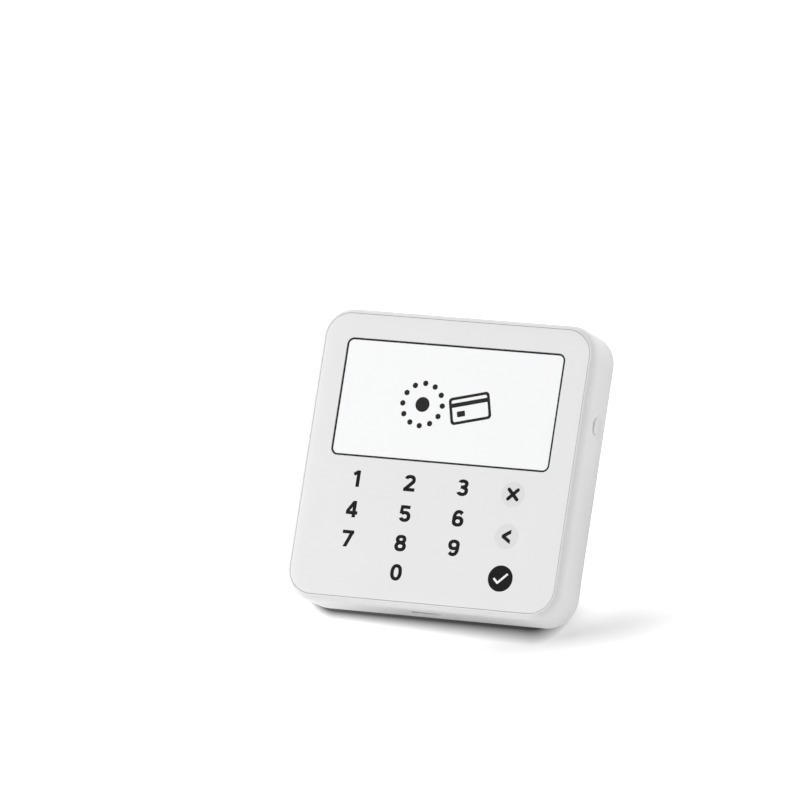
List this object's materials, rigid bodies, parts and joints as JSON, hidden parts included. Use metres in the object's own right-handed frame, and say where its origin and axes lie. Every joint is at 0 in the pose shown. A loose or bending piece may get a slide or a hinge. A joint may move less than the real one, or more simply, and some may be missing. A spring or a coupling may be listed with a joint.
{
  "type": "card payment terminal",
  "caption": "Square hand-held card reader in white plastic with a flush display, flat touch keypad, chip-card slot, side power button, charging socket and rubber feet.",
  "frame": {"origin": "middle of the plane that the feet rest on, with the terminal lying on its back", "axes": "+Z out of the printed face, +Y towards the display end with the card slot, +X to the right of someone reading the display"},
  "size_m": [0.083, 0.083, 0.0178],
  "materials": {
    "casing_white": "fine satin moulded plastic",
    "window_clear": "clear polished",
    "foot_rubber": "soft matt",
    "label_film": "printed film, left blank",
    "screw_steel": "zinc plated",
    "adhesive_foam": "matt foam tape",
    "clear_film": "clear laminated film",
    "ribbon_amber": "amber polyimide ribbon",
    "display_grey": "polished panel",
    "light_guide": "milky sheet in a white frame",
    "copper": "bare copper",
    "ferrite": "matt sintered sheet",
    "frame_grey": "glass-filled moulding",
    "board_green": "solder mask over laminate",
    "connector_ivory": "moulded connector",
    "pad_black": "carbon-filled rubber",
    "chip_black": "moulded package",
    "tin_plate": "tin-plated sheet",
    "component_tan": "fired ceramic bodies",
    "reader_black": "glass-filled moulding",
    "guide_steel": "rolled sheet",
    "contact_gold": "gold-plated spring metal",
    "battery_foil": "pouch cell in laminated foil",
    "wire_red": "soft wire insulation",
    "buzzer_black": "moulded can",
    "legend_black": "printed ink of the key legends",
    "legend_grey": "printed ink of the two grey keys",
    "legend_white": "printed ink of the confirm mark",
    "display_lit": "white picture area, lit from behind",
    "display_ink": "black border and picture under the window"
  },
  "bodies": {
    "terminal": {"rear_shell": "casing_white", "rear_screws": "screw_steel", "rubber_feet": "foot_rubber", "rating_label": "label_film", "face_plate": "casing_white", "display_window": "window_clear", "cover_adhesive": "adhesive_foam", "touch_film": "clear_film", "touch_flex": "ribbon_amber", "lcd_panel": "display_grey", "backlight": "light_guide", "display_flex": "ribbon_amber", "antenna_sheet": "ribbon_amber", "antenna_coil": "copper", "ferrite_sheet": "ferrite", "inner_frame": "frame_grey", "main_board": "board_green", "board_screws": "screw_steel", "flex_connectors": "connector_ivory", "tamper_pads": "pad_black", "main_processor": "chip_black", "memory_chip": "chip_black", "power_chip": "chip_black", "wireless_module": "chip_black", "shield_can": "tin_plate", "board_components": "component_tan", "coin_cell": "tin_plate", "coin_cell_clip": "tin_plate", "reader_body": "reader_black", "reader_cover": "guide_steel", "contact_tails": "contact_gold", "card_detect_contact": "contact_gold", "usb_shell": "guide_steel", "usb_tongue": "connector_ivory", "usb_contacts": "contact_gold", "switch_body": "reader_black", "battery": "battery_foil", "battery_pads": "adhesive_foam", "battery_wires": "wire_red", "battery_plug": "connector_ivory", "battery_header": "connector_ivory", "buzzer": "buzzer_black", "buzzer_springs": "contact_gold"},
    "button_cap": {"power_button": "casing_white"},
    "switch_stem": {"switch_plunger": "connector_ivory"},
    "inner_contact_row": {"inner_contacts": "contact_gold"},
    "outer_contact_row": {"outer_contacts": "contact_gold"},
    "detect_blade": {"card_detect_blade": "contact_gold"}
  },
  "joints": [
    {"name": "power_button_press", "type": "slide", "parent": "terminal", "child": "button_cap", "axis": [-1, 0, 0], "range_m": [0, 0.0003], "stiffness_N_per_m": 30},
    {"name": "switch_stem_press", "type": "slide", "parent": "terminal", "child": "switch_stem", "axis": [-1, 0, 0], "range_m": [0, 0.0003]},
    {"name": "inner_contacts_lift", "type": "hinge", "parent": "terminal", "child": "inner_contact_row", "pos_m": [-0.0031, 0.01395, 0.011], "axis": [-1, 0, 0], "range_deg": [0, 6.5], "stiffness_Nm_per_rad": 0.0004},
    {"name": "outer_contacts_lift", "type": "hinge", "parent": "terminal", "child": "outer_contact_row", "pos_m": [-0.0031, 0.02157, 0.011], "axis": [-1, 0, 0], "range_deg": [0, 6.5], "stiffness_Nm_per_rad": 0.0004},
    {"name": "card_detect_swing", "type": "hinge", "parent": "terminal", "child": "detect_blade", "pos_m": [0.0155, -0.0054, 0.0096], "axis": [0, 0, 1], "range_deg": [0, 8], "stiffness_Nm_per_rad": 0.0002}
  ],
  "couplings": [
    {"joint": "switch_stem_press", "follows": "power_button_press", "ratio": 1}
  ]
}
